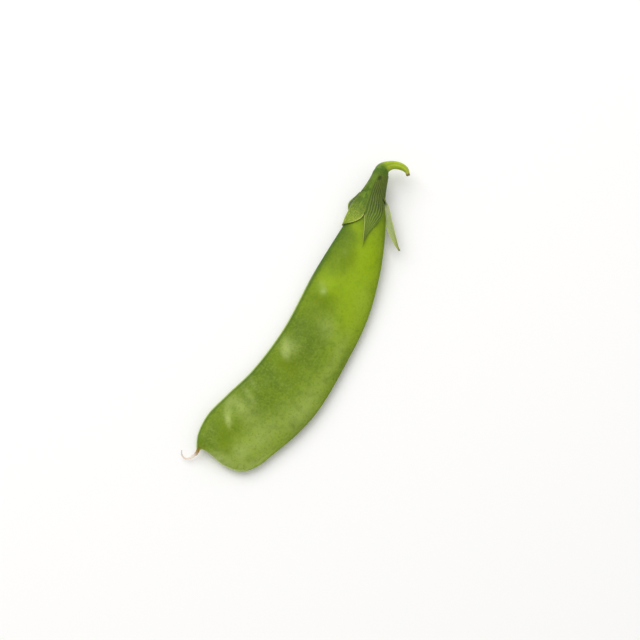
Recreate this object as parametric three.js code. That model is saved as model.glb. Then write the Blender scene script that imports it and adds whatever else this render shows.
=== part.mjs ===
// A freshly picked snow pea pod lying on its broad side: the flat pod with its small peas showing as
// swells, the green calyx that holds its neck, five pointed calyx lobes, the hooked stalk and the dry
// thread of the old flower's style at the beak.
//
// Millimetres, +Z up. +X runs from the beak to the stalk, and +Y is the side of the upper seam, the
// nearly straight one that the peas hang from. The origin is on the surface, under the middle of the box.
import * as THREE from "three";

// ---- Driving dimensions -----------------------------------------------------------------------

const GAP = 0.3; // free space between neighbouring pieces
const LOBE_THICKNESS = 0.45;

const POD_HALF_THICKNESS = 2.5; // where the pod is wide
const POD_MIDDLE_HEIGHT = 2.25; // height of the pod's middle plane above the surface
const POD_THINNING_WIDTH = 3.2; // half width at which the pod has lost about a third of its thickness
const POD_TWIST = THREE.MathUtils.degToRad(5); // how far each end is turned against the middle
const NECK_RISE = 2.9; // the neck stands this much higher than the pod's middle
const NECK_SHARE = 0.42; // and rises over this share of the length
const BEAK_RISE = 0.5;
const BEAK_SHARE = 0.2;
const SEAM_RADIUS = 0.42; // the round rib along both seams
const SEAM_FADE_POWER = 4; // the higher, the closer to the seams a pea's swell reaches

// The pod's two seams, from the neck inside the calyx to the beak, seen from above.
const UPPER_SEAM = [
  [40.1, 10.2], [38.7, 10.6], [36.5, 10.8], [31, 10.4], [25.5, 10.1], [9, 9], [-8, 6.75], [-22, 7],
  [-31, 8.6], [-38.5, 9.6], [-44, 8.65], [-46.7, 7.2], [-47.8, 6.3],
];
const LOWER_SEAM = [
  [40.7, 8.2], [39.8, 6.9], [38.4, 5.7], [33.7, 1.7], [27.9, -2], [19.2, -6.3], [7.5, -10.4], [-5, -12.5],
  [-20, -13.85], [-28, -13.1], [-36.8, -10.9], [-42.6, -9], [-45.7, -6.4], [-46.9, -2], [-46.6, 3],
  [-46.8, 5.2], [-47.6, 5.8],
];

// Where each pea swells the pod: x, y and how far it lifts the skin.
const PEAS = [
  { x: 18.5, y: 4.4, swell: 0.4 },
  { x: 6, y: 3.2, swell: 0.7 },
  { x: -3.5, y: 2, swell: 0.2 },
  { x: -13, y: 1.4, swell: 0.85 },
  { x: -24.5, y: 1.8, swell: 0.25 },
  { x: -36, y: 3.4, swell: 0.95 },
];
const PEA_REACH = 3.9; // how far a swell spreads

// The calyx cup, from the stalk to its open rim: the centre, and the radii across and up.
const CUP_STATIONS = [
  { centre: [44.1, 10, 5.2], across: 1.9, up: 1.9 },
  { centre: [43.3, 9.85, 5.15], across: 2.2, up: 2.15 },
  { centre: [42.3, 9.5, 5.05], across: 2.35, up: 2.25 },
  { centre: [40.2, 8.88, 4.95], across: 2.8, up: 2.38 },
  { centre: [37.5, 8.3, 4.75], across: 3.7, up: 2.45 },
];
const CUP_WALL = 0.4;
const CUP_FLOOR = 0.55; // how far along the cup its socket ends, as a share of the way from rim to stalk

// The stalk's middle line and its radius along it.
const STALK_LINE = [
  [44.65, 10.1, 5.2], [45.2, 10.12, 5.2], [46.3, 9.55, 5.3], [47.4, 8.4, 5.4], [48.1, 6.9, 5.4],
  [48.25, 5.2, 5.35], [47.2, 3.4, 5.1],
];
const STALK_RADII = [1.8, 1.55, 1.25, 1.08, 0.96, 0.76, 0.48];

// The dry style: it leaves the beak, dips towards the surface and curls back up.
const STYLE_LINE = [
  [-48.25, 5.9, 2.6], [-49.4, 6.3, 1.7], [-50.5, 6.9, 1.2], [-51.2, 7.9, 1.3], [-50.9, 9, 1.9],
  [-50, 9.6, 2.5],
];
const STYLE_RADII = [0.5, 0.42, 0.3, 0.24, 0.22, 0.18];

// ---- Small tools ------------------------------------------------------------------------------

const { lerp, degToRad } = THREE.MathUtils;

const flatCurve = (points) =>
  new THREE.CatmullRomCurve3(points.map(([x, y]) => new THREE.Vector3(x, y, 0)), false, "centripetal");

const spaceCurve = (points) =>
  new THREE.CatmullRomCurve3(points.map((p) => new THREE.Vector3(...p)), false, "centripetal");

// Reads a list of values spread evenly over 0 to 1, with straight steps between them.
function valueAlong(values, share) {
  const place = THREE.MathUtils.clamp(share, 0, 1) * (values.length - 1);
  const left = Math.min(Math.floor(place), values.length - 2);
  return lerp(values[left], values[left + 1], place - left);
}

// A closed skin over a run of rings, each turning right-handed about the way the run goes. All have the
// same even number of points, and point i lies opposite point count - 1 - i, so that each end is closed
// by a ladder of quads.
function skin(rings) {
  const count = rings[0].length;
  const index = [];
  const at = (ring, i) => ring * count + (i % count);
  const quad = (a, b, c, d) => index.push(a, b, c, a, c, d);
  for (let r = 0; r < rings.length - 1; r++)
    for (let i = 0; i < count; i++) quad(at(r, i), at(r, i + 1), at(r + 1, i + 1), at(r + 1, i));
  const last = rings.length - 1;
  for (let i = 0; i < count / 2 - 1; i++) {
    quad(at(0, count - 1 - i), at(0, count - 2 - i), at(0, i + 1), at(0, i));
    quad(at(last, i), at(last, i + 1), at(last, count - 2 - i), at(last, count - 1 - i));
  }
  const geometry = new THREE.BufferGeometry();
  const positions = rings.flat().flatMap((p) => [p.x, p.y, p.z]);
  geometry.setAttribute("position", new THREE.Float32BufferAttribute(positions, 3));
  geometry.setIndex(index);
  geometry.computeVertexNormals();
  return geometry;
}

// The angles of a ring's points, placed so that each has its opposite.
const ringAngles = (count) => Array.from({ length: count }, (_, i) => ((i + 0.5) / count) * 2 * Math.PI);

// ---- The pod ----------------------------------------------------------------------------------

const upperSeam = flatCurve(UPPER_SEAM);
const lowerSeam = flatCurve(LOWER_SEAM);

// The pod's skin is read by two numbers. along is 0 at the neck and 1 at the beak; angle is 0 on the
// upper seam, a quarter turn on top of the pod and half a turn on the lower seam.
function podSection(along) {
  const upper = upperSeam.getPointAt(along);
  const lower = lowerSeam.getPointAt(along);
  const across = upper.clone().sub(lower);
  const halfWidth = across.length() / 2;
  const neck = Math.max(0, 1 - along / NECK_SHARE);
  const beak = Math.max(0, 1 - (1 - along) / BEAK_SHARE);
  const height = POD_MIDDLE_HEIGHT + NECK_RISE * neck ** 1.5 + BEAK_RISE * beak ** 2;
  const middle = upper.clone().add(lower).multiplyScalar(0.5).setZ(height);
  const twist = POD_TWIST * (2 * along - 1) ** 3;
  const direction = across.normalize();
  return { middle, direction, halfWidth, twist };
}

function peaSwell(x, y) {
  return PEAS.reduce((sum, pea) => {
    const distance = Math.hypot(x - pea.x, y - pea.y) / PEA_REACH;
    return sum + pea.swell * Math.exp(-2 * distance ** 2);
  }, 0);
}

// Half the pod's thickness at a share of its half width: a flat lens, which ends just short of the seams,
// with a rib on each seam.
function podHalfThickness(share, halfWidth) {
  const [lensReach, flatness, fullness] = [0.97, 3, 0.85];
  const full = POD_HALF_THICKNESS * (1 - Math.exp(-halfWidth / POD_THINNING_WIDTH));
  const lens = full * Math.max(0, 1 - (Math.abs(share) / lensReach) ** flatness) ** fullness;
  const inFromSeam = (1 - Math.abs(share)) * halfWidth;
  const radius = Math.min(SEAM_RADIUS, halfWidth / 2);
  const rib = inFromSeam < 2 * radius ? Math.sqrt(Math.max(0, radius ** 2 - (inFromSeam - radius) ** 2)) : 0;
  return (lens ** 3 + rib ** 3) ** (1 / 3);
}

function podSkinPoint(section, angle) {
  const share = Math.cos(angle);
  const offset = share * section.halfWidth;
  const x = section.middle.x + section.direction.x * offset;
  const y = section.middle.y + section.direction.y * offset;
  const edgeFade = 1 - Math.abs(share) ** SEAM_FADE_POWER;
  const half = podHalfThickness(share, section.halfWidth) + peaSwell(x, y) * edgeFade;
  const side = Math.sin(angle) < 0 ? -1 : 1;
  const z = section.middle.z + side * half + Math.sin(section.twist) * offset;
  return new THREE.Vector3(x, y, z);
}

// A point standing a little way out from the pod's skin, square to it within the section.
function besidePod(along, angle, out) {
  const section = podSection(along);
  const { x, y } = section.direction;
  const step = 0.02;
  const run = podSkinPoint(section, angle + step).sub(podSkinPoint(section, angle - step));
  const flat = run.x * x + run.y * y;
  const normal = new THREE.Vector3(x * run.z, y * run.z, -flat).normalize();
  return podSkinPoint(section, angle).addScaledVector(normal, out);
}

function podGeometry() {
  const stations = 64;
  const angles = ringAngles(32);
  const rings = [];
  for (let i = stations; i >= 0; i--) {
    const section = podSection(i / stations);
    const ring = angles.map((angle) => podSkinPoint(section, angle));
    ring.forEach((point) => (point.z = Math.max(0, point.z))); // the pod's weight rests it on a flat patch
    rings.push(ring);
  }
  return skin(rings);
}

// ---- The calyx cup ------------------------------------------------------------------------------

// A ring square to the cup's line, a distance in from the cup's outer wall.
function cupRing(share, inward) {
  const step = 1 / (CUP_STATIONS.length - 1);
  const line = spaceCurve(CUP_STATIONS.map((s) => s.centre));
  const centre = line.getPoint(share);
  const forward = line.getTangent(THREE.MathUtils.clamp(share, step / 2, 1 - step / 2));
  const side = new THREE.Vector3(-forward.y, forward.x, 0).normalize();
  const radius = (key) => valueAlong(CUP_STATIONS.map((s) => s[key]), share) - inward;
  const [across, up] = [radius("across"), radius("up")];
  return ringAngles(24).map((angle) =>
    centre.clone().addScaledVector(side, Math.cos(angle) * across)
      .add(new THREE.Vector3(0, 0, Math.sin(angle) * up)),
  );
}

function cupGeometry() {
  const steps = 12;
  const rings = [];
  for (let i = 0; i <= steps; i++) rings.push(cupRing(i / steps, 0));
  for (let i = 0; i <= steps; i++) rings.push(cupRing(1 - (i / steps) * CUP_FLOOR, CUP_WALL));
  return skin(rings);
}

// ---- The calyx lobes ----------------------------------------------------------------------------

// A ring round the cut edge of a thin leaf: out along its upper face and back along its lower face.
const leafRing = (upperFace, lowerFace) => [...upperFace, ...lowerFace.slice().reverse()];

// A lobe that lies along the pod. Its margins are angles on the pod's skin, in degrees, from root to tip,
// and each margin has its own lift off the pod.
function lyingLobe({ root, tip, firstMargin, lastMargin, firstLift, lastLift }) {
  const [stations, columns] = [18, 9];
  const rings = [];
  for (let i = stations; i >= 0; i--) {
    const share = i / stations;
    const along = lerp(root, tip, share);
    const first = degToRad(valueAlong(firstMargin, share));
    const last = degToRad(valueAlong(lastMargin, share));
    const face = (distance) =>
      Array.from({ length: columns }, (_, j) => {
        const across = j / (columns - 1);
        const lift = lerp(valueAlong(firstLift, share), valueAlong(lastLift, share), across);
        return besidePod(along, lerp(first, last, across), distance + lift);
      });
    rings.push(leafRing(face(GAP + LOBE_THICKNESS), face(GAP)));
  }
  return skin(rings);
}

// The lobe on the lower seam has sprung away from the pod. It is a blade on edge, along a line of its own.
const SPRUNG_LINE = [
  [38, 4.3, 4.5], [35.5, 1.85, 4.5], [33.3, -0.3, 4.35], [31.15, -2.85, 4.1], [28.5, -6.7, 3.65],
];
const SPRUNG_HALF_WIDTHS = [1, 1.1, 1.05, 0.85, 0.12];
const SPRUNG_LEANS = [0, 32, 50, 60, 60]; // degrees that its upper margin leans out, away from the pod
const SPRUNG_HOLLOW = 0.2; // how far its margins bend in towards the pod
function sprungLobe() {
  const line = spaceCurve(SPRUNG_LINE);
  const [stations, columns] = [18, 7];
  const rings = [];
  for (let i = 0; i <= stations; i++) {
    const share = i / stations;
    const forward = line.getTangent(share);
    const outward = new THREE.Vector3(-forward.y, forward.x, 0).normalize();
    const halfWidth = valueAlong(SPRUNG_HALF_WIDTHS, share);
    const lean = degToRad(valueAlong(SPRUNG_LEANS, share));
    const face = (distance) =>
      Array.from({ length: columns }, (_, j) => {
        const side = lerp(-1, 1, j / (columns - 1));
        const out = distance + side * halfWidth * Math.sin(lean) - SPRUNG_HOLLOW * side ** 2;
        const point = line.getPoint(share).addScaledVector(outward, out);
        point.z += side * halfWidth * Math.cos(lean);
        return point;
      });
    rings.push(leafRing(face(LOBE_THICKNESS / 2), face(-LOBE_THICKNESS / 2)));
  }
  return skin(rings);
}

const LOBE_ROOT = 0.042; // where the lobes part from the cup, along the pod
const frontSide = {
  root: LOBE_ROOT, tip: 0.205,
  firstMargin: [75, 76, 79, 84, 91, 96],
  lastMargin: [139, 139, 127, 109, 99, 98],
  firstLift: [0, 0, 0, 0, 0.1, 0.25],
  lastLift: [0, 0, 0, 0, 0.1, 0.25],
};
const frontUpper = {
  root: LOBE_ROOT, tip: 0.165,
  firstMargin: [4, 4, 4, 4, 4, 6],
  lastMargin: [68, 69, 70, 69, 60, 12],
  firstLift: [0.1, 0.35, 0.55, 0.55, 0.35, 0],
  lastLift: [0, 0, 0, 0, 0, 0.1],
};
// The same lobe on the underside. Its first margin is where the upper side's lobe has its last, so that
// its rings still run the same way round. seamLift is how far its margin by the upper seam springs off.
const beneath = ({ root, tip, firstMargin, lastMargin }, seamLift) => ({
  root, tip,
  firstMargin: lastMargin.map((angle) => -angle),
  lastMargin: firstMargin.map((angle) => -angle),
  firstLift: [0, 0],
  lastLift: seamLift,
});
const backSide = beneath(frontSide, [0, 0]);
const backUpper = beneath(frontUpper, [0.2, 0.9, 1.6, 0.5, 0.15, 0]);

// ---- Stalk and style ------------------------------------------------------------------------------

// A round rod with a changing radius along a curve.
function taperedRod(points, radii, sides, stations) {
  const line = spaceCurve(points);
  const frames = line.computeFrenetFrames(stations);
  const rings = [];
  for (let i = 0; i <= stations; i++) {
    const centre = line.getPointAt(i / stations);
    const radius = valueAlong(radii, i / stations);
    rings.push(ringAngles(sides).map((angle) =>
      centre.clone()
        .addScaledVector(frames.normals[i], Math.cos(angle) * radius)
        .addScaledVector(frames.binormals[i], Math.sin(angle) * radius),
    ));
  }
  return skin(rings);
}

// ---- Assembly -------------------------------------------------------------------------------------

const skinGreen = new THREE.MeshStandardMaterial({ color: 0x86a53a, roughness: 0.42, metalness: 0 });
const calyxGreen = new THREE.MeshStandardMaterial({ color: 0x6b8f2c, roughness: 0.6, metalness: 0 });
const stalkGreen = new THREE.MeshStandardMaterial({ color: 0x95aa3c, roughness: 0.5, metalness: 0 });
const dryStraw = new THREE.MeshStandardMaterial({ color: 0xd9b98c, roughness: 0.8, metalness: 0 });

const part = new THREE.Group();
function add(name, geometry, material) {
  const mesh = new THREE.Mesh(geometry, material);
  mesh.name = name;
  part.add(mesh);
}

add("pod", podGeometry(), skinGreen);
add("calyx_cup", cupGeometry(), calyxGreen);
add("lobe_side_front", lyingLobe(frontSide), calyxGreen);
add("lobe_side_back", lyingLobe(backSide), calyxGreen);
add("lobe_upper_front", lyingLobe(frontUpper), calyxGreen);
add("lobe_upper_back", lyingLobe(backUpper), calyxGreen);
add("lobe_lower", sprungLobe(), calyxGreen);
add("stalk", taperedRod(STALK_LINE, STALK_RADII, 14, 26), stalkGreen);
add("dry_style", taperedRod(STYLE_LINE, STYLE_RADII, 8, 20), dryStraw);

// The origin goes under the middle of the whole object's box, on the surface.
const box = new THREE.Box3().setFromObject(part);
const middle = box.getCenter(new THREE.Vector3());
part.position.set(-middle.x, -middle.y, -box.min.z);

export default part;
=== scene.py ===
# A freshly picked snow pea pod lying on its broad side: the flat green pod with its small peas showing as
# swells, the calyx that holds its neck, the hooked stalk and the dry thread at its beak.
import math

import bpy
import numpy as np
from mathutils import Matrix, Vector


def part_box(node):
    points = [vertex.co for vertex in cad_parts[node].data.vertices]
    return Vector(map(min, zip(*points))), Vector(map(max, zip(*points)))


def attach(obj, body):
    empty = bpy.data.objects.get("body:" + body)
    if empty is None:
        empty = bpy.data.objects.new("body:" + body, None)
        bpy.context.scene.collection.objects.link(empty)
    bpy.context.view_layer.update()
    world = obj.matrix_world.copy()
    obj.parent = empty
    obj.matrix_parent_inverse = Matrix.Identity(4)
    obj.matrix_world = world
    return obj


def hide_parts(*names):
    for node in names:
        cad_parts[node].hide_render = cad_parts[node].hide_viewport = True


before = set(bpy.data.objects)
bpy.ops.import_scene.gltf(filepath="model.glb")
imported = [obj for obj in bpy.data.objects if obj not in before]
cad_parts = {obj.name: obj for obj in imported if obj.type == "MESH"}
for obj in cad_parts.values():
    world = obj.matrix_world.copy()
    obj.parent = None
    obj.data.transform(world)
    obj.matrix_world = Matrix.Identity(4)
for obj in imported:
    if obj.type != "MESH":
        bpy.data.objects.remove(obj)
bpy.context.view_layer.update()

# ---- The pod ------------------------------------------------------------------------------------------
# Two thin green valves, grown together along two seams, with small peas in a row between them. The skin is
# smooth and waxy. It is one closed skin, lofted from the upper seam to the lower one and back underneath.
# All sizes are in millimetres: x from the beak to the stalk, y towards the upper seam, z up.

# The pod's two seams, from the neck inside the calyx to the beak, seen from above.
UPPER_SEAM = [
    (40.1, 10.2), (38.7, 10.6), (36.5, 10.8), (31, 10.4), (25.5, 10.1), (9, 9), (-8, 6.75), (-22, 7),
    (-31, 8.6), (-38.5, 9.6), (-44, 8.65), (-46.7, 7.2), (-47.8, 6.3),
]
LOWER_SEAM = [
    (40.7, 8.2), (39.8, 6.9), (38.4, 5.7), (33.7, 1.7), (27.9, -2), (19.2, -6.3), (7.5, -10.4), (-5, -12.5),
    (-20, -13.85), (-28, -13.1), (-36.8, -10.9), (-42.6, -9), (-45.7, -6.4), (-46.9, -2), (-46.6, 3),
    (-46.8, 5.2), (-47.6, 5.8),
]
PEAS = [  # x, y and how far the pea swells the pod
    (18.5, 4.4, 0.4), (6, 3.2, 0.7), (-3.5, 2, 0.2), (-13, 1.4, 0.85), (-24.5, 1.8, 0.25), (-36, 3.4, 0.95),
]
PEA_REACH = 3.9  # how far a swell spreads
BEAK_TIP = (-47.8, 6.0)
POD_HALF_THICKNESS = 2.5  # where the pod is wide
POD_MIDDLE_HEIGHT = 2.25  # height of the pod's middle plane above the surface
POD_THINNING_WIDTH = 3.2  # half width at which the pod has lost about a third of its thickness
POD_TWIST = math.radians(5)  # how far each end is turned against the middle
NECK_RISE = 2.9  # the neck stands this much higher than the pod's middle
NECK_SHARE = 0.42  # and rises over this share of the length
BEAK_RISE = 0.5
BEAK_SHARE = 0.2
SEAM_RADIUS = 0.42  # the round rib along both seams
SEAM_FADE_POWER = 4  # the higher, the closer to the seams a pea's swell reaches


def smooth_line(points, shares):
    """The points at these shares of the length of a smooth curve through the given ones."""
    given = np.array(points, float)
    given = np.vstack([2 * given[0] - given[1], given, 2 * given[-1] - given[-2]])
    steps = np.sqrt(np.linalg.norm(np.diff(given, axis=0), axis=1))
    knots = np.concatenate([[0], np.cumsum(steps)])
    dense = []
    for i in range(1, len(given) - 2):
        t0, t1, t2, t3 = knots[i - 1:i + 3]
        p0, p1, p2, p3 = given[i - 1:i + 3]
        t = np.linspace(t1, t2, 48)[:, None]
        a1 = ((t1 - t) * p0 + (t - t0) * p1) / (t1 - t0)
        a2 = ((t2 - t) * p1 + (t - t1) * p2) / (t2 - t1)
        a3 = ((t3 - t) * p2 + (t - t2) * p3) / (t3 - t2)
        b1 = ((t2 - t) * a1 + (t - t0) * a2) / (t2 - t0)
        b2 = ((t3 - t) * a2 + (t - t1) * a3) / (t3 - t1)
        dense.append(((t2 - t) * b1 + (t - t1) * b2) / (t2 - t1))
    dense = np.vstack(dense)
    length = np.concatenate([[0], np.cumsum(np.linalg.norm(np.diff(dense, axis=0), axis=1))])
    return np.stack([np.interp(shares, length / length[-1], column) for column in dense.T], -1)


def ease(low, high, value):
    """0 below low, 1 above high, and a smooth step between."""
    share = np.clip((value - low) / (high - low), 0, 1)
    return share * share * (3 - 2 * share)


def pea_swell(x, y):
    total = np.zeros_like(x)
    for pea_x, pea_y, swell in PEAS:
        total += swell * np.exp(-2 * ((x - pea_x) ** 2 + (y - pea_y) ** 2) / PEA_REACH ** 2)
    return total


def pod_section(along):
    """The cross-section's middle, direction, half width and twist. along is 0 at the neck, 1 at the beak."""
    shares = np.linspace(0, 1, 1201)
    upper, lower = (
        np.stack([np.interp(along, shares, column) for column in smooth_line(seam, shares).T], -1)
        for seam in (UPPER_SEAM, LOWER_SEAM)
    )
    half_width = np.linalg.norm(upper - lower, axis=-1) / 2
    direction = (upper - lower) / (2 * half_width[..., None])
    neck = np.clip(1 - along / NECK_SHARE, 0, None)
    beak = np.clip(1 - (1 - along) / BEAK_SHARE, 0, None)
    height = POD_MIDDLE_HEIGHT + NECK_RISE * neck ** 1.5 + BEAK_RISE * beak ** 2
    middle = np.concatenate([(upper + lower) / 2, height[..., None]], -1)
    return middle, direction, half_width, POD_TWIST * (2 * along - 1) ** 3


def wrinkles(x, y):
    """Faint slanting folds, where the half-filled valve has drawn in between the peas."""
    slant = x * 0.94 + y * 0.34
    ripple = np.sin(slant * 2.1 + 0.7 * np.sin(y * 0.9)) + 0.6 * np.sin(slant * 3.7 + y * 0.5 + 1.3)
    patch = np.exp(-(((x + 26) / 9) ** 2) - ((y - 1.5) / 5) ** 2)
    patch += 0.6 * np.exp(-(((x + 4) / 7) ** 2) - ((y - 3.5) / 4) ** 2)
    return 0.035 * ripple * patch


def pod_skin(along, angle, detail=0.0):
    """Points on the pod's skin. angle is 0 on the upper seam, a quarter turn on top and a half turn on the
    lower seam; detail is how much of the wrinkles shows."""
    lens_reach, flatness, fullness = 0.97, 3, 0.85
    middle, direction, half_width, twist = pod_section(along)
    share = np.cos(angle)
    offset = share * half_width
    x = middle[..., 0] + direction[..., 0] * offset
    y = middle[..., 1] + direction[..., 1] * offset
    full = POD_HALF_THICKNESS * (1 - np.exp(-half_width / POD_THINNING_WIDTH))
    lens = full * np.clip(1 - (np.abs(share) / lens_reach) ** flatness, 0, None) ** fullness
    inward = (1 - np.abs(share)) * half_width
    radius = np.minimum(SEAM_RADIUS, half_width / 2)
    rib = np.sqrt(np.clip(radius ** 2 - (inward - radius) ** 2, 0, None))
    half = (lens ** 3 + rib ** 3) ** (1 / 3)
    seam_fade = 1 - np.abs(share) ** SEAM_FADE_POWER
    half = half + (pea_swell(x, y) + detail * wrinkles(x, y)) * seam_fade
    side = np.where(np.sin(angle) < 0, -1, 1)
    z = middle[..., 2] + side * half + np.sin(twist) * offset
    return np.stack([x, y, z], -1)


def ring_angles(sides):
    """The angles of a ring's points, placed so that each has its opposite."""
    return (np.arange(sides) + 0.5) / sides * 2 * math.pi


POD_ROWS, POD_SIDES = 281, 112
pod_along, pod_angle = np.meshgrid(np.linspace(1, 0, POD_ROWS), ring_angles(POD_SIDES), indexing="ij")
pod_points = pod_skin(pod_along, pod_angle, detail=1.0)
pod_points[..., 2] = np.clip(pod_points[..., 2], 0, None)  # its weight rests it on a flat patch
_, _, pod_half_width, _ = pod_section(pod_along)

# The drawing's own origin is near the pod's middle; the frame's is under the middle of the whole object.
frame_low, frame_high = (np.array(corner) * 1000 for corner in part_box("pod"))
drawn_low, drawn_high = pod_points.min((0, 1)), pod_points.max((0, 1))
place = (frame_low + frame_high - drawn_low - drawn_high) / 2 * (1, 1, 0)


def skin(name, rings, marks):
    """A closed mesh over a run of rings, with a number on every point for each mark."""
    rows, sides = rings.shape[:2]
    faces = []
    for r in range(rows - 1):
        for i in range(sides):
            after = (i + 1) % sides
            faces.append((r * sides + i, r * sides + after, (r + 1) * sides + after, (r + 1) * sides + i))
    last = (rows - 1) * sides
    for i in range(sides // 2 - 1):
        facing = sides - 1 - i
        faces.append((facing, facing - 1, i + 1, i))
        faces.append((last + i, last + i + 1, last + facing - 1, last + facing))
    mesh = bpy.data.meshes.new(name)
    mesh.from_pydata(((rings.reshape(-1, 3) + place) * 0.001).tolist(), [], faces)
    for mark, values in marks.items():
        numbers = np.broadcast_to(values, (rows, sides)).astype(np.float32)
        mesh.attributes.new(mark, "FLOAT", "POINT").data.foreach_set("value", numbers.ravel())
    mesh.shade_smooth()
    piece = bpy.data.objects.new(name, mesh)
    bpy.context.scene.collection.objects.link(piece)
    return piece


class Amount:
    """A number that varies over a surface. Arithmetic on it adds the Math nodes that work it out."""

    def __init__(self, finish, link):
        self.finish, self.link = finish, link

    def reckon(self, operation, *numbers):
        """Adds one Math node."""
        return self.finish.node("ShaderNodeMath", {"operation": operation}, dict(enumerate(numbers)))

    def __add__(self, other):
        return self.reckon("ADD", self, other)

    def __sub__(self, other):
        return self.reckon("SUBTRACT", self, other)

    def __rsub__(self, other):
        return self.reckon("SUBTRACT", other, self)

    def __mul__(self, other):
        return self.reckon("MULTIPLY", self, other)

    __radd__ = __add__
    __rmul__ = __mul__

    def wave(self):
        return self.reckon("SINE", self)

    def between(self, low, high):
        """0 where the amount is at low, 1 where it is at high, and a smooth step between."""
        sockets = {"Value": self, "From Min": low, "From Max": high}
        return self.finish.node("ShaderNodeMapRange", {"interpolation_type": "SMOOTHSTEP"}, sockets)


class Finish:
    """The look of one surface, built up from what its mesh is marked with and from fine grain."""

    def __init__(self, name, **constants):
        self.material = bpy.data.materials.new(name)
        self.material.use_nodes = True
        self.tree = self.material.node_tree
        self.shader = self.tree.nodes["Principled BSDF"]
        for socket, value in constants.items():
            self.shader.inputs[socket.replace("_", " ")].default_value = value

    def node(self, kind, settings={}, sockets={}, out=0):
        """Adds any node: its settings first, then the values or links of its sockets."""
        made = self.tree.nodes.new(kind)
        for setting, value in settings.items():
            setattr(made, setting, value)
        for key, value in sockets.items():
            if isinstance(value, Amount):
                self.tree.links.new(value.link, made.inputs[key])
            else:
                made.inputs[key].default_value = value
        return Amount(self, made.outputs[out])

    def marked(self, mark):
        """What the skin function put on the mesh under this name."""
        return self.node("ShaderNodeAttribute", {"attribute_name": mark}, out="Fac")

    def mix(self, share, low, high):
        """One colour where share is 0 and the other where it is 1."""
        return self.node("ShaderNodeMix", {"data_type": "RGBA"}, {0: share, 6: low, 7: high}, out=2)

    def grain(self, size, detail=3.0, stretch=(1, 1, 1), roughness=0.55):
        """Cloudy noise whose patches are about this many millimetres across."""
        where = self.node("ShaderNodeTexCoord", out="Object")
        where = self.node("ShaderNodeVectorMath", {"operation": "MULTIPLY"}, {0: where, 1: stretch})
        sockets = {"Vector": where, "Scale": 1000 / size, "Detail": detail, "Roughness": roughness}
        return self.node("ShaderNodeTexNoise", {}, sockets)

    def paint(self, **looks):
        """Links what varies to the shader, with height as a bump of that many millimetres."""
        height = looks.pop("height", None)
        if height is not None:
            bump = self.node("ShaderNodeBump", {}, {"Distance": 0.001, "Strength": 1.0, "Height": height})
            self.tree.links.new(bump.link, self.shader.inputs["Normal"])
        for socket, value in looks.items():
            self.tree.links.new(value.link, self.shader.inputs[socket.replace("_", " ")])


def shade(red, green, blue):
    """A colour written in everyday display numbers, 0 to 255, as the linear light a shader mixes."""
    def linear(number):
        level = number / 255
        return level / 12.92 if level <= 0.04045 else ((level + 0.055) / 1.055) ** 2.4
    return (linear(red), linear(green), linear(blue), 1)


# Where the skin looks different: how far along the pod and across it (1 on the upper seam, -1 on the lower),
# how far the patch reaches each way, and how strong it is. The first list is a painted glow of light shining
# through the flesh, most of it at the half-empty neck end. The second is darker patches, partly the flesh's
# own deeper green and partly painted shade, as where a pea blocks the light coming through. The third is
# painted shade, in olive, on the side of each pea's swell away from the light, and the last is painted
# highlights and sheen, mostly on the peas' swells.
PAINTED_GLOW = [
    (0.15, 0.4, 0.015, 0.25, 0.8), (0.2, -0.2, 0.045, 0.3, 1.0), (0.27, -0.5, 0.1, 0.4, 0.9),
    (0.34, 0.35, 0.035, 0.45, 1.0), (0.38, -0.5, 0.07, 0.4, 0.6), (0.3, -0.1, 0.05, 0.25, 0.5),
    (0.17, 0.2, 0.015, 0.15, 0.6), (0.84, -0.22, 0.03, 0.2, 0.3),
]
DEEP_AND_SHADE = [
    (0.18, 0.95, 0.05, 0.25, 1.0), (0.24, 0.3, 0.035, 0.36, 0.5), (0.3, 0.95, 0.08, 0.2, 1.0),
    (0.2, 0.65, 0.035, 0.2, 0.55), (0.7, 0.9, 0.06, 0.25, 0.6), (0.875, 0.6, 0.02, 0.4, 0.5),
    (0.42, 0.75, 0.03, 0.25, 0.4), (0.5, 0.8, 0.04, 0.35, 0.85), (0.51, 0.0, 0.05, 0.4, 0.5),
    (0.5, -0.92, 0.07, 0.12, 0.6), (0.66, 0.7, 0.03, 0.5, 0.7), (0.72, 0.3, 0.05, 0.45, 0.5),
    (0.9, 0.0, 0.03, 0.5, 0.4), (0.95, 0.2, 0.03, 0.5, 0.4), (0.1, 0.0, 0.05, 1.5, 0.5),
    (0.7, -0.92, 0.04, 0.1, 0.5),
]
PAINTED_PEA_SHADE = [
    (0.41, 0.45, 0.022, 0.3, 0.7), (0.455, 0.5, 0.02, 0.25, 0.3), (0.615, 0.5, 0.02, 0.25, 0.8),
    (0.61, 0.2, 0.03, 0.25, 0.6), (0.87, 0.25, 0.02, 0.4, 0.9), (0.83, 0.1, 0.02, 0.2, 0.4),
    (0.245, 0.22, 0.028, 0.28, 0.85), (0.885, -0.15, 0.018, 0.25, 0.8),
]
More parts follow.
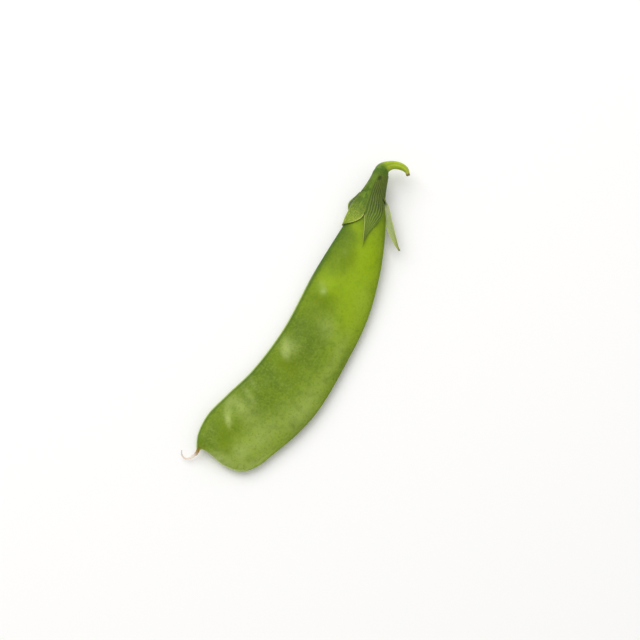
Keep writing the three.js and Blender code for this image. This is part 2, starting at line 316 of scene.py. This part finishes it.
PAINTED_SHEEN = [
    (0.373, 0.47, 0.0095, 0.085, 0.9), (0.36, 0.6, 0.014, 0.15, 0.25), (0.242, 0.38, 0.008, 0.1, 0.25),
    (0.565, 0.72, 0.018, 0.15, 0.4), (0.585, 0.6, 0.015, 0.15, 0.5), (0.597, 0.48, 0.009, 0.12, 0.6),
    (0.565, 0.45, 0.025, 0.2, 0.3), (0.805, 0.8, 0.016, 0.16, 0.45), (0.825, 0.62, 0.012, 0.18, 0.5),
    (0.84, 0.43, 0.008, 0.15, 1.0), (0.848, 0.3, 0.005, 0.1, 0.7), (0.79, 0.5, 0.015, 0.22, 0.4),
    (0.79, 0.2, 0.03, 0.35, 0.3), (0.75, 0.6, 0.01, 0.3, 0.3), (0.72, 0.75, 0.008, 0.2, 0.25),
    (0.8, -0.5, 0.07, 0.35, 0.45), (0.855, -0.4, 0.02, 0.25, 0.3), (0.93, -0.8, 0.03, 0.3, 0.75),
    (0.84, -0.92, 0.05, 0.12, 0.6), (0.66, -0.7, 0.07, 0.3, 0.45), (0.5, -0.7, 0.09, 0.18, 0.3),
    (0.45, -0.1, 0.03, 0.35, 0.3), (0.33, -0.65, 0.05, 0.25, 0.25), (0.925, -0.45, 0.025, 0.2, 0.3),
    (0.88, -0.72, 0.03, 0.2, 0.4),
]


def patches(places):
    total = np.zeros_like(pod_along)
    for along, across, reach_along, reach_across, amount in places:
        total += amount * np.exp(-((pod_along - along) / reach_along) ** 2
                                 - ((np.cos(pod_angle) - across) / reach_across) ** 2)
    return np.clip(total, 0, 1)


pod = skin("pod_valves", pod_points, {
    "along": pod_along,
    "from_upper": (1 - np.cos(pod_angle)) * pod_half_width,
    "from_lower": (1 + np.cos(pod_angle)) * pod_half_width,
    "across": np.cos(pod_angle),
    "painted_glow": patches(PAINTED_GLOW),
    "deep_and_shade": patches(DEEP_AND_SHADE),
    "olive_and_shade": patches(PAINTED_PEA_SHADE),
    "painted_sheen": patches(PAINTED_SHEEN),
    "from_beak": np.hypot(pod_points[..., 0] - BEAK_TIP[0], pod_points[..., 1] - BEAK_TIP[1]),
})

LEAF_SCATTER = (0.5, 1.0, 0.15)  # green light goes furthest through the flesh
pod_finish = Finish("pod_skin", Subsurface_Weight=0.2, Subsurface_Scale=0.0015,
                    Subsurface_Radius=LEAF_SCATTER, IOR=1.42, Specular_IOR_Level=0.2)
along = pod_finish.marked("along")
across = pod_finish.marked("across")
from_upper = pod_finish.marked("from_upper")
from_lower = pod_finish.marked("from_lower")
fine, cloud, broad = pod_finish.grain(0.6, 4), pod_finish.grain(2.4), pod_finish.grain(9, 2)
streak = pod_finish.grain(1.1, 3, (1, 0.3, 1))

# The green changes from the neck to the blossom end, is painted lighter towards the lower seam as light
# shining through the thinner flesh there, and then changes patch by patch.
green = pod_finish.mix(along.between(0.35, 0.6), shade(116, 143, 4), shade(107, 132, 18))
green = pod_finish.mix(along.between(0.65, 0.85), green, shade(118, 142, 32))
green = pod_finish.mix((0 - across).between(-0.2, 0.8) * 0.6, green, shade(143, 169, 36))
# Darker patches: partly the flesh's own deeper green, partly painted shade where a pea blocks the light
# through it.
green = pod_finish.mix(pod_finish.marked("deep_and_shade") * 0.85, green, shade(80, 108, 12))
# Painted shade, in olive, on the side of each pea's swell away from the light.
green = pod_finish.mix(pod_finish.marked("olive_and_shade") * 0.9, green, shade(108, 134, 0))
# Painted glow: light shining through the flesh, mostly by the neck.
green = pod_finish.mix(pod_finish.marked("painted_glow") * 0.75, green, shade(149, 178, 0))
# Painted highlights and sheen, mostly on the peas' swells.
green = pod_finish.mix(pod_finish.marked("painted_sheen") * (0.55 + cloud * 0.85), green, shade(186, 202, 116))

# Cloudy and fine grain, with more pale speckle towards the blossom end, partly the skin's waxy bloom and
# partly painted sheen. The painted glow and the painted olive shade show through it.
green = pod_finish.mix(cloud.between(0.45, 0.7) * 0.42, green, shade(92, 118, 12))
green = pod_finish.mix((1 - cloud).between(0.5, 0.75) * 0.25, green, shade(150, 172, 48))
green = pod_finish.mix(broad.between(0.4, 0.7) * 0.2, green, shade(140, 166, 20))
bloom_and_sheen = along.between(0.3, 0.6)
green = pod_finish.mix(fine.between(0.45, 0.72) * (0.18 + bloom_and_sheen * 0.2), green, shade(150, 170, 62))
green = pod_finish.mix((1 - fine).between(0.48, 0.7) * 0.4, green, shade(86, 112, 16))
streaks = streak.between(0.5, 0.75) * along.between(0.55, 0.7)
green = pod_finish.mix(streaks * 0.16, green, shade(162, 180, 92))
green = pod_finish.mix(pod_finish.marked("olive_and_shade") * 0.6, green, shade(116, 140, 0))
green = pod_finish.mix(pod_finish.marked("painted_glow") * 0.5, green, shade(147, 177, 0))

# The seams: dark by the neck, with painted shade along the lower rim, then a pale string along the upper one
# and round the end, partly its own colour and partly a painted highlight on the rib, and the tan beak.
dark_band = (1 - from_upper.between(0.4, 1.6)) * (1 - along.between(0.36, 0.5))
green = pod_finish.mix(dark_band * 0.75, green, shade(72, 104, 24))
# Painted shade along the lower rim, where the skin turns away from the light.
lower_rim_painted_shade = (1 - from_lower.between(0.3, 1.1)) * (1 - along.between(0.7, 0.8) * 0.6)
green = pod_finish.mix(lower_rim_painted_shade * 0.5, green, shade(98, 114, 26))
beside_string = (1 - from_upper.between(0.7, 1.4)) * along.between(0.36, 0.5)
green = pod_finish.mix(beside_string * 0.5, green, shade(72, 104, 30))
string_and_highlight = (1 - from_upper.between(0.22, 0.48)) * along.between(0.3, 0.45)
green = pod_finish.mix(string_and_highlight * (0.5 + cloud * 0.4), green, shade(192, 212, 128))
end_string_and_highlight = (1 - from_lower.between(0.22, 0.48)) * along.between(0.84, 0.9)
green = pod_finish.mix(end_string_and_highlight * (0.5 + cloud * 0.4), green, shade(202, 216, 144))
beak_tan = 1 - pod_finish.marked("from_beak").between(0.3, 1.4)
green = pod_finish.mix(beak_tan * 0.9, green, shade(150, 124, 44))
pod_finish.paint(
    Base_Color=green,
    Roughness=0.4 + fine * 0.14 + broad.between(0.35, 0.7) * 0.06,
    height=fine * 0.035 + cloud * 0.12 + streak * 0.03,
)
pod.data.materials.append(pod_finish.material)
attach(pod, "root")
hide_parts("pod")

# ---- The calyx cup ------------------------------------------------------------------------------------
# The green tube at the flower's base, which stays on and grips the pod's neck. It is a thin leafy wall with
# fine lengthwise veins, closed round the stalk and open where the pod comes out of it.

CUP_STATIONS = [  # x, y, z of the middle, and the radii across and up
    (44.1, 10, 5.2, 1.95, 1.95), (43.3, 9.85, 5.15, 2.25, 2.2), (42.3, 9.5, 5.05, 2.4, 2.3),
    (40.2, 8.9, 4.95, 2.75, 2.35), (37.6, 8.15, 4.75, 3.4, 2.4),
]
CUP_RIM = 0.042  # where the rim lies along the pod
CUP_LENGTH = 6.8
CUP_WALL = 0.3
CUP_OUT = 0.42  # how far the cup's outside stands off the pod at its rim
CUP_FLARE = 0.4  # and how much further by the upper seam, where it opens
CUP_PIT = (41.4, 9, 7.2)  # a small dark scar on the cup
POD_LENGTH = 93  # about its length along the middle line


def tube(line, across, up, angle):
    """Rings square to a line in space, with their radii across and up."""
    ahead = np.gradient(line, axis=0)
    ahead /= np.linalg.norm(ahead, axis=1)[:, None]
    side = np.cross([0, 0, 1], ahead)
    side /= np.linalg.norm(side, axis=1)[:, None]
    lift = np.cross(ahead, side)
    return (line[:, None] + side[:, None] * (across * np.cos(angle))[..., None]
            + lift[:, None] * (up * np.sin(angle))[..., None])


def beside_pod(along, angle, out):
    """Points standing out from the pod's skin, square to it within the cross-section."""
    _, direction, _, _ = pod_section(along)
    step = 0.02
    run = pod_skin(along, angle + step) - pod_skin(along, angle - step)
    flat = (run[..., :2] * direction).sum(-1)
    normal = np.stack([direction[..., 0] * run[..., 2], direction[..., 1] * run[..., 2], -flat], -1)
    normal /= np.linalg.norm(normal, axis=-1)[..., None]
    return pod_skin(along, angle) + normal * np.asarray(out)[..., None]


def flared(beyond, angle):
    """How far the calyx stands off the pod, so many millimetres beyond its rim and at an angle round it."""
    return CUP_OUT + CUP_FLARE * (1 - ease(0, 9, beyond)) * np.clip(np.cos(angle), 0, 1) ** 2


def cup_skin(share, angle):
    """Points on the cup's outside, 0 at the stalk to 1 at its rim, where it hugs the pod."""
    line = smooth_line(CUP_STATIONS, share[:, 0])
    round_wall = tube(line[:, :3], line[:, 3:4], line[:, 4:5], math.pi - angle)
    snug_wall = beside_pod(np.full_like(angle, CUP_RIM), angle, flared(0, angle))
    hug = ease(0.45, 1, share)[..., None]
    return round_wall * (1 - hug) + snug_wall * hug


def calyx_skin(beyond, angle, out):
    """Points on the calyx's outside, beyond its rim by so many millimetres, raised by out."""
    share = np.clip(1 + beyond / CUP_LENGTH, 0, 1)
    on_cup = cup_skin(share, angle)
    middle = cup_skin(share, np.broadcast_to(ring_angles(16), (len(share), 16))).mean(1, keepdims=True)
    away = on_cup - middle
    on_cup = on_cup + away / np.linalg.norm(away, axis=-1)[..., None] * out[..., None]
    along = np.broadcast_to(CUP_RIM + np.clip(beyond, 0, None) / POD_LENGTH, angle.shape)
    return np.where((beyond < 0)[..., None], on_cup, beside_pod(along, angle, flared(beyond, angle) + out))


CUP_ROWS, CUP_SIDES = 44, 80
CUP_FLOOR_ROW = 20  # where its hollow ends, counted from the stalk
cup_share = np.linspace(0, 1, CUP_ROWS)[:, None]
cup_angle = np.broadcast_to(ring_angles(CUP_SIDES), (CUP_ROWS, CUP_SIDES))
cup_outside = cup_skin(cup_share, cup_angle)
cup_away = cup_outside - cup_outside.mean(1, keepdims=True)
cup_inside = cup_outside - cup_away / np.linalg.norm(cup_away, axis=-1)[..., None] * CUP_WALL
cup_rings = np.concatenate([cup_inside[CUP_FLOOR_ROW:], cup_outside[::-1]])
cup_shares = np.concatenate([cup_share[CUP_FLOOR_ROW:], cup_share[::-1]])

# What the calyx's pieces are marked with: vein is the angle round the pod at a leaf's root, beyond is how
# far past the rim, margin how far from a free margin, and tip the share of the way to a lobe's tip.
cup = skin("calyx_tube", cup_rings, {
    "vein": np.broadcast_to(cup_angle[:1], cup_rings.shape[:2]),
    "beyond": (cup_shares - 1) * CUP_LENGTH,
    "margin": 4.0,
    "tip": 0.0,
    "pale": 0.0,
    "silvery_and_glow": 0.0,
    "pit": 1 - ease(0.2, 0.75, np.linalg.norm((cup_rings - CUP_PIT) * (0.65, 1, 1), axis=-1)),
})

calyx_finish = Finish("calyx_leaf", Subsurface_Weight=0.15, Subsurface_Scale=0.0008,
                      Subsurface_Radius=LEAF_SCATTER, IOR=1.4, Specular_IOR_Level=0.3)
vein, beyond = calyx_finish.marked("vein"), calyx_finish.marked("beyond")
fine, cloud = calyx_finish.grain(0.5, 4), calyx_finish.grain(2.2)
waver = calyx_finish.grain(1.6, 2)
vein_wave = (vein * 34 + waver * 5).wave()
vein_line = vein_wave.between(0.1, 1.0)
groove = (0 - vein_wave).between(0.2, 1.0)
where = calyx_finish.node("ShaderNodeTexCoord", out="Object")
net = calyx_finish.node("ShaderNodeTexVoronoi", {"feature": "DISTANCE_TO_EDGE"},
                        {"Vector": where, "Scale": 2300.0})
net_line = 1 - net.between(0.0, 0.16)

# The green, round the cup and from the stalk out to the lobes. The cup's side towards the upper seam is
# painted lighter, as light falling on it, and parts of the rest are painted darker, as shade.
green = calyx_finish.mix(cloud.between(0.35, 0.65), shade(88, 112, 22), shade(106, 134, 28))
# Darker olive over the cup's top and lower side, partly its own colour and partly painted shade.
olive_and_shade = vein.between(1.2, 1.8) * (1 - vein.between(2.6, 3.2)) * (1 - beyond.between(-1, 3))
green = calyx_finish.mix(olive_and_shade * 0.6, green, shade(92, 98, 20))
green = calyx_finish.mix(beyond.between(-6.5, -4.0), shade(76, 112, 16), green)
# Painted light on the cup's side towards the upper seam.
painted_lit_side = vein.between(0.6, 1.1) * (1 - vein.between(1.15, 1.4))
painted_lit_side = painted_lit_side * beyond.between(-6, -3) * (1 - beyond.between(0, 5))
green = calyx_finish.mix(painted_lit_side * (0.3 + cloud * 0.5), green, shade(112, 150, 24))
shaded = vein.between(1.15, 1.5) * beyond.between(-5, -1.5) * (1 - beyond.between(2, 7))
green = calyx_finish.mix(shaded * 0.75, green, shade(72, 86, 18))
green = calyx_finish.mix(vein.between(1.2, 1.3) * beyond.between(5, 9) * 0.5, green, shade(122, 148, 34))

# The veins: even stripes on the long lobes and a net on the broad ones, which are mottled and yellower.
striped = beyond.between(-4.5, 0) * vein.between(1.1, 1.5)
green = calyx_finish.mix(groove * (0.25 + striped * 0.5), green, shade(58, 74, 36))
green = calyx_finish.mix(vein_line * (0.15 + striped * 0.35), green, shade(136, 158, 72))
pale = calyx_finish.marked("pale")
mottle = calyx_finish.grain(1.3, 3)
mottled = mottle.between(0.44, 0.6) * (1 - vein.between(1.1, 1.5))
mottled = mottled * (1 - beyond.between(5, 10)) * beyond.between(-5, -1)
green = calyx_finish.mix(mottled * 0.7, green, shade(66, 98, 8))
yellowed = pale * beyond.between(4, 10) * (0.3 + mottle)
green = calyx_finish.mix(yellowed * 0.65, green, shade(148, 170, 34))
green = calyx_finish.mix(net_line * pale * (0.2 + beyond.between(3, 9) * 0.3), green, shade(190, 208, 88))

# The pale silver inner side, brightened as a painted glow of light shining through the leaf, the pale
# margins, the tan tips and the scar.
silvery_and_glow = calyx_finish.marked("silvery_and_glow")
green = calyx_finish.mix(silvery_and_glow * (0.85 + fine * 0.3), green, shade(238, 244, 202))
green = calyx_finish.mix(fine.between(0.5, 0.75) * 0.2, green, shade(140, 162, 78))
margin_line = 1 - calyx_finish.marked("margin").between(0.06, 0.26)
green = calyx_finish.mix(margin_line * 0.85, green, shade(206, 218, 120))
tip_tan = calyx_finish.marked("tip").between(0.93, 1.0)
green = calyx_finish.mix(tip_tan * 0.7, green, shade(140, 136, 66))
green = calyx_finish.mix(calyx_finish.marked("pit") * 0.75, green, shade(44, 56, 18))
calyx_finish.paint(
    Base_Color=green,
    Roughness=0.5 + fine * 0.2,
    height=vein_line * 0.06 + fine * 0.03 + net_line * 0.02 - calyx_finish.marked("pit") * 0.25,
)
cup.data.materials.append(calyx_finish.material)
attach(cup, "root")
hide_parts("calyx_cup")

# ---- The calyx lobes that lie on the pod --------------------------------------------------------------
# Four pointed green leaves that grow out of the cup's rim, two on each side: a broad short one by the upper
# seam and a long narrow one on the face. Each is a thin blade with thinner, paler margins, against the pod.

LOBE_THICKNESS = 0.26
LOBE_ROWS = 76  # rings from a lobe's root to its tip


def blade_columns(count):
    """Places across a blade, -1 on one margin to 1 on the other, closer together near both."""
    return -np.cos(np.linspace(0, math.pi, count))[None]


def blade_thickness(column, share):
    """A lobe's thickness, which falls off at its margins and towards its tip."""
    return LOBE_THICKNESS * (0.12 + 0.88 * (1 - column ** 4) ** 0.5) * (1 - 0.75 * ease(0.85, 1, share))


def both_faces(outside, inside=None):
    """One array for a closed ring: out along the blade's outside and back along its inside."""
    inside = outside if inside is None else inside
    return np.concatenate([outside, inside[:, ::-1]], 1)


def lying_lobe(name, node, stations, side, notches, pale):
    """A leaf over the pod. Each station is how far it is beyond the rim, its two margins as angles on the
    pod in degrees, and how far each margin lifts. Past its notch on each side, a margin is free and pale."""
    rows = smooth_line(stations, np.linspace(1, 0, LOBE_ROWS))
    beyond, first, last, first_lift, last_lift = (rows[:, k:k + 1] for k in range(5))
    column = blade_columns(25)
    share = (1 + column) / 2
    to_tip = beyond / stations[-1][0]
    spread = np.ones_like(column)
    if side < 0:
        first, last, first_lift, last_lift = -last, -first, last_lift, first_lift
    lift = first_lift + (last_lift - first_lift) * share
    angle = np.radians(first + (last - first) * share)
    root_angle = np.broadcast_to(angle[-1], angle.shape)
    keel = 0.05 * np.exp(-(column / 0.12) ** 2) * ease(-1, 4, beyond)
    cupped = 0.1 * column ** 2 * ease(2, 12, beyond)
    height = lift + cupped
    outside = calyx_skin(beyond, angle, height + keel)
    inside = calyx_skin(beyond, angle, height - blade_thickness(column, to_tip))
    width = np.linalg.norm(outside[:, -1] - outside[:, 0], axis=-1)[:, None]
    notch = np.where(column * side < 0, notches[0], notches[1])
    margin = (1 - np.abs(column)) * width / 2 + 3 * (1 - ease(notch - 0.6, notch + 0.8, beyond))
    leaf = skin(name, both_faces(outside, inside), {
        "vein": both_faces(root_angle),
        "beyond": both_faces(beyond * spread),
        "margin": both_faces(margin),
        "tip": both_faces(to_tip * spread),
        "pale": both_faces(pale * ease(0, 7, beyond) * spread),
        "silvery_and_glow": both_faces(np.zeros_like(margin), np.full_like(margin, 0.4)),
        "pit": 0.0,
    })
    leaf.data.materials.append(calyx_finish.material)
    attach(leaf, "root")
    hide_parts(node)


SIDE_LOBE = [
    (-3.5, 73, 146, -0.1, -0.1), (-2, 73, 146, -0.02, -0.02), (0, 73, 145.5, 0.02, 0.02), (2, 73, 144, 0, 0),
    (4.4, 74, 139, 0, -0.06), (6.6, 76, 124, -0.02, -0.08), (8.6, 82, 112, -0.02, -0.06),
    (10.5, 87, 103, 0.02, 0), (12.5, 91.5, 98, 0.1, 0.1), (13.8, 95, 97.2, 0.18, 0.18),
    (15.2, 97.6, 98, 0.25, 0.25),
]
UPPER_LOBE = [
    (-3.5, 3, 76, -0.1, -0.1), (-2, 3, 76, 0.01, 0), (0, 3, 76, 0.07, 0.05), (2, 3, 75.5, 0.15, 0.04),
    (4, 3, 75, 0.45, 0.03), (6, 3, 74, 0.55, 0.02), (7.4, 3, 71.5, 0.5, 0.02), (8.8, 3, 63, 0.4, 0.03),
    (10.2, 3, 46, 0.1, 0.03), (11.4, 4, 10, -0.05, 0),
]
FAR_UPPER_LOBE = [
    (-3.5, 3, 76, -0.1, -0.1), (-2, 3, 76, 0, -0.01), (0, 3, 76, 0.2, 0.04), (2, 3, 75.5, 0.75, 0.04),
    (4, 3, 75, 1.6, 0.03), (5.2, 3, 74, 1.5, 0.02), (6.6, 3, 72, 0.7, 0.02), (8.8, 3, 63, 0.15, 0.03),
    (10.2, 3, 46, 0, 0.03), (11.4, 4, 10, -0.05, 0),
]
lying_lobe("lobe_on_face", "lobe_side_front", SIDE_LOBE, 1, (6, 16), 0.1)
lying_lobe("lobe_on_far_face", "lobe_side_back", SIDE_LOBE, -1, (6, 16), 0.1)
lying_lobe("lobe_by_seam", "lobe_upper_front", UPPER_LOBE, 1, (2, 6), 1.0)
lying_lobe("lobe_by_seam_far", "lobe_upper_back", FAR_UPPER_LOBE, -1, (2, 6), 1.0)

# ---- The sprung lobe ----------------------------------------------------------------------------------
# The fifth calyx lobe, on the lower seam. It is the same thin leaf, but it has sprung away from the pod and
# stands on edge, so that its pale inner side shows, brightened with a painted glow of light through the
# leaf. It peels off the pod just past the rim.

SPRUNG_STATIONS = [  # x, y, z of the middle, half the width, and how far it leans out, in degrees
    (38, 4.4, 4.5, 1.1, 10), (36.4, 3, 4.5, 1.1, 35), (34.8, 1.45, 4.45, 1.1, 52),
    (33.2, -0.2, 4.35, 1.05, 58), (31.6, -2.1, 4.2, 0.95, 60), (30.2, -4, 4, 0.7, 60),
    (29.1, -5.6, 3.8, 0.36, 60), (28.4, -6.8, 3.65, 0.05, 60),
]
SPRUNG_ROOT_HALF_ANGLE = math.radians(33)  # half of what its root spans on the pod

sprung_share = np.linspace(0, 1, LOBE_ROWS)[:, None]
sprung_rows = smooth_line(SPRUNG_STATIONS, sprung_share[:, 0])
sprung_ahead = np.gradient(sprung_rows[:, :3], axis=0)
sprung_outward = np.cross([0, 0, 1], sprung_ahead)
sprung_outward /= np.linalg.norm(sprung_outward, axis=1)[:, None]
column = blade_columns(21)
sprung_lean = np.radians(sprung_rows[:, 4:5])
blade_up = np.cos(sprung_lean) * [0, 0, 1] + np.sin(sprung_lean) * sprung_outward
blade = sprung_rows[:, None, :3] + blade_up[:, None] * (column * sprung_rows[:, 3:4])[..., None]
hollow_and_keel = 0.3 * column ** 2 - 0.05 * np.exp(-(column / 0.15) ** 2)
blade = blade - sprung_outward[:, None] * hollow_and_keel[..., None]
sprung_beyond = -2.0 + 12 * sprung_share
spread = np.ones((LOBE_ROWS, column.size))
root_angle = math.pi - SPRUNG_ROOT_HALF_ANGLE * column * spread
sunk = -0.25 * (1 - ease(0, 0.16, sprung_share)) * spread
hugging = calyx_skin(sprung_beyond, root_angle, sunk)
peel = ease(0.1, 0.34, sprung_share)[..., None]
middle_face = hugging * (1 - peel) + blade * peel
half_body = sprung_outward[:, None] * (blade_thickness(column, sprung_share) / 2)[..., None]
outside, inside = middle_face + half_body, middle_face - half_body
sprung_width = np.linalg.norm(outside[:, -1] - outside[:, 0], axis=-1)[:, None]
margin = (1 - np.abs(column)) * sprung_width / 2 + 3 * (1 - ease(0.2, 0.35, sprung_share))
# The inner side is pale, brightened as a painted glow of light through the leaf.
silvery_and_glow_inside = ease(0.16, 0.3, sprung_share) * (1 - 0.75 * ease(0.3, 1, sprung_share))
sprung = skin("lobe_sprung", both_faces(outside, inside), {
    "vein": both_faces(root_angle),
    "beyond": both_faces(sprung_beyond * spread),
    "margin": both_faces(margin),
    "tip": both_faces(sprung_share * spread),
    "pale": 0.6,
    "silvery_and_glow": both_faces(0 * spread, silvery_and_glow_inside * spread),
    "pit": 0.0,
})
sprung.data.materials.append(calyx_finish.material)
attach(sprung, "root")
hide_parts("lobe_lower")

# ---- The stalk ----------------------------------------------------------------------------------------
# The stalk the pod hung by, snapped off and hooked over. It is a ribbed green rod that grows out of the
# cup's closed end, brighter round the bend, with a shrunken brown end where it broke and dried.

STALK_STATIONS = [
    (43.5, 9.9, 5.15, 1.8), (44.3, 10.1, 5.2, 1.98), (45.1, 10.08, 5.2, 1.8), (46.3, 9.5, 5.3, 1.42),
    (47.4, 8.4, 5.4, 1.13), (48.1, 6.9, 5.4, 1.02), (48.3, 5.4, 5.35, 0.86), (48.1, 4.5, 5.3, 0.7),
    (47.65, 3.85, 5.2, 0.56), (47.2, 3.4, 5.1, 0.46),
]

STALK_ROWS, STALK_SIDES = 120, 48
stalk_share = np.linspace(0, 1, STALK_ROWS)[:, None]
stalk_rows = smooth_line(STALK_STATIONS, stalk_share[:, 0])
stalk_angle = np.broadcast_to(ring_angles(STALK_SIDES), (STALK_ROWS, STALK_SIDES))
ribs = 0.035 * np.cos(5 * stalk_angle + 3 * stalk_share) + 0.02 * np.cos(9 * stalk_angle + 1.0)
crumple = 0.13 * np.cos(4 * stalk_angle + 30 * stalk_share)
crumple += 0.09 * np.sin(7 * stalk_angle + 55 * stalk_share)
stalk_radius = stalk_rows[:, 3:4] * (1 + ribs + ease(0.86, 1, stalk_share) * crumple)
stalk_rings = tube(stalk_rows[:, :3], stalk_radius, stalk_radius, stalk_angle)
torn = 0.3 * np.sin(3 * stalk_angle + 0.6) + 0.16 * np.sin(8 * stalk_angle) + 0.1 * np.sin(13 * stalk_angle)
torn_reach = 2.5 * np.gradient(stalk_rows[:, :3], axis=0)
stalk_rings += torn_reach[:, None] * (ease(0.9, 1, stalk_share) * torn)[..., None]
stalk = skin("hooked_stalk", stalk_rings, {
    "along": stalk_share,
    "rib": np.cos(5 * stalk_angle + 3 * stalk_share),
    "dry": ease(0.88, 1, stalk_share),
})

stalk_finish = Finish("stalk_skin", Subsurface_Weight=0.2, Subsurface_Scale=0.0012,
                      Subsurface_Radius=LEAF_SCATTER, IOR=1.42, Specular_IOR_Level=0.35)
along, dry = stalk_finish.marked("along"), stalk_finish.marked("dry")
fine, cloud = stalk_finish.grain(0.5, 4, (0.5, 0.5, 1)), stalk_finish.grain(1.8)
green = stalk_finish.mix(along.between(0.1, 0.34), shade(76, 112, 16), shade(176, 196, 40))
green = stalk_finish.mix(cloud.between(0.35, 0.7) * 0.4, green, shade(122, 150, 40))
green = stalk_finish.mix((0 - stalk_finish.marked("rib")).between(0.2, 1) * 0.35, green, shade(92, 124, 34))
green = stalk_finish.mix(fine.between(0.5, 0.75) * 0.25, green, shade(186, 200, 96))
green = stalk_finish.mix(along.between(0.78, 0.92) * 0.6, green, shade(176, 176, 84))
green = stalk_finish.mix((dry + cloud * 0.5 - 0.25).between(0.3, 0.9) * 0.9, green, shade(128, 112, 70))
stalk_finish.paint(
    Base_Color=green,
    Roughness=0.42 + fine * 0.15 + dry * 0.3,
    height=fine * 0.05 + cloud * 0.08,
)
stalk.data.materials.append(stalk_finish.material)
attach(stalk, "root")
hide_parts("stalk")

# ---- The dry style ------------------------------------------------------------------------------------
# What is left of the flower's style: a papery ribbon that has dried to a pale straw thread with browner
# edges. It grows out of the pod's beak, dips towards the surface and curls back up.

STYLE_STATIONS = [  # x, y, z of the middle, half the width, half the thickness
    (-47.3, 6.1, 2.75, 0.42, 0.34), (-48.25, 5.9, 2.6, 0.46, 0.2), (-49.4, 6.3, 1.7, 0.4, 0.1),
    (-50.5, 6.9, 1.2, 0.28, 0.08), (-51.2, 7.9, 1.3, 0.22, 0.08), (-50.9, 9, 1.9, 0.18, 0.09),
    (-50, 9.6, 2.5, 0.12, 0.08),
]

STYLE_ROWS, STYLE_SIDES = 90, 20
style_share = np.linspace(0, 1, STYLE_ROWS)[:, None]
style_rows = smooth_line(STYLE_STATIONS, style_share[:, 0])
style_angle = np.broadcast_to(ring_angles(STYLE_SIDES), (STYLE_ROWS, STYLE_SIDES))
kinks = 1 + 0.12 * np.sin(40 * style_share) + 0.08 * np.sin(83 * style_share + 1)
style_rings = tube(style_rows[:, :3], style_rows[:, 3:4] * kinks, style_rows[:, 4:5], style_angle)
style = skin("style_thread", style_rings, {
    "along": style_share,
    "edge": np.abs(np.cos(style_angle)),
})

style_finish = Finish("style_straw", Subsurface_Weight=0.1, Subsurface_Scale=0.0002,
                      Subsurface_Radius=(1, 0.8, 0.6), Specular_IOR_Level=0.3)
along = style_finish.marked("along")
fine = style_finish.grain(0.3, 4)
straw = style_finish.mix(along.between(0.04, 0.34), shade(152, 122, 44), shade(240, 226, 210))
straw = style_finish.mix(style_finish.marked("edge").between(0.8, 1) * 0.4, straw, shade(200, 160, 130))
straw = style_finish.mix(fine.between(0.5, 0.75) * 0.3, straw, shade(214, 184, 160))
straw = style_finish.mix(along.between(0.75, 1) * 0.4, straw, shade(216, 184, 166))
style_finish.paint(Base_Color=straw, Roughness=0.65 + fine * 0.2, height=fine * 0.04)
style.data.materials.append(style_finish.material)
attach(style, "root")
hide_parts("dry_style")

# ---- Surface, light and camera ------------------------------------------------------------------------
# A plain white surface under a broad soft light from above and behind, a weaker one from straight above and
# an even pale light all round.

bpy.ops.mesh.primitive_plane_add(size=6)
floor = bpy.context.object
floor.name = "white_surface"
floor_finish = Finish("white_board", Roughness=0.9)
white = floor_finish.mix(floor_finish.grain(300, 1), shade(254, 253, 252), shade(255, 254, 253))
floor_finish.paint(Base_Color=white)
floor.data.materials.append(floor_finish.material)

world = bpy.data.worlds.new("room")
world.use_nodes = True
world.node_tree.nodes["Background"].inputs["Color"].default_value = (1, 1, 1, 1)
world.node_tree.nodes["Background"].inputs["Strength"].default_value = 0.56
bpy.context.scene.world = world


def softbox(name, towards, distance, size, power):
    """A square light that faces the pod from a direction."""
    lamp = bpy.data.lights.new(name, "AREA")
    lamp.size, lamp.energy = size, power
    holder = bpy.data.objects.new(name, lamp)
    holder.location = Vector(towards).normalized() * distance
    holder.rotation_euler = (-holder.location).to_track_quat("-Z", "Y").to_euler()
    bpy.context.scene.collection.objects.link(holder)


softbox("key", (0.35, 0.85, 1.1), 0.9, 0.8, 4.4)
softbox("top", (0.1, 0.05, 1), 1.0, 0.8, 1.5)

CAMERA_AZIMUTH = math.radians(-55)
CAMERA_ELEVATION = math.radians(75)
CAMERA_DISTANCE = 0.408
towards_camera = Vector((
    math.sin(CAMERA_AZIMUTH) * math.cos(CAMERA_ELEVATION),
    -math.cos(CAMERA_AZIMUTH) * math.cos(CAMERA_ELEVATION),
    math.sin(CAMERA_ELEVATION),
))
camera = bpy.data.objects.new("camera", bpy.data.cameras.new("camera"))
camera.data.lens = 85
camera.data.sensor_width = 36
camera.data.clip_start = 0.01
aim = Vector((place[0], place[1], 3)) * 0.001  # the drawing's own origin, a little above the surface
camera.location = aim + towards_camera * CAMERA_DISTANCE
camera.rotation_euler = (-towards_camera).to_track_quat("-Z", "Y").to_euler()
bpy.context.scene.collection.objects.link(camera)
bpy.context.scene.camera = camera
bpy.context.scene.view_settings.view_transform = "Standard"
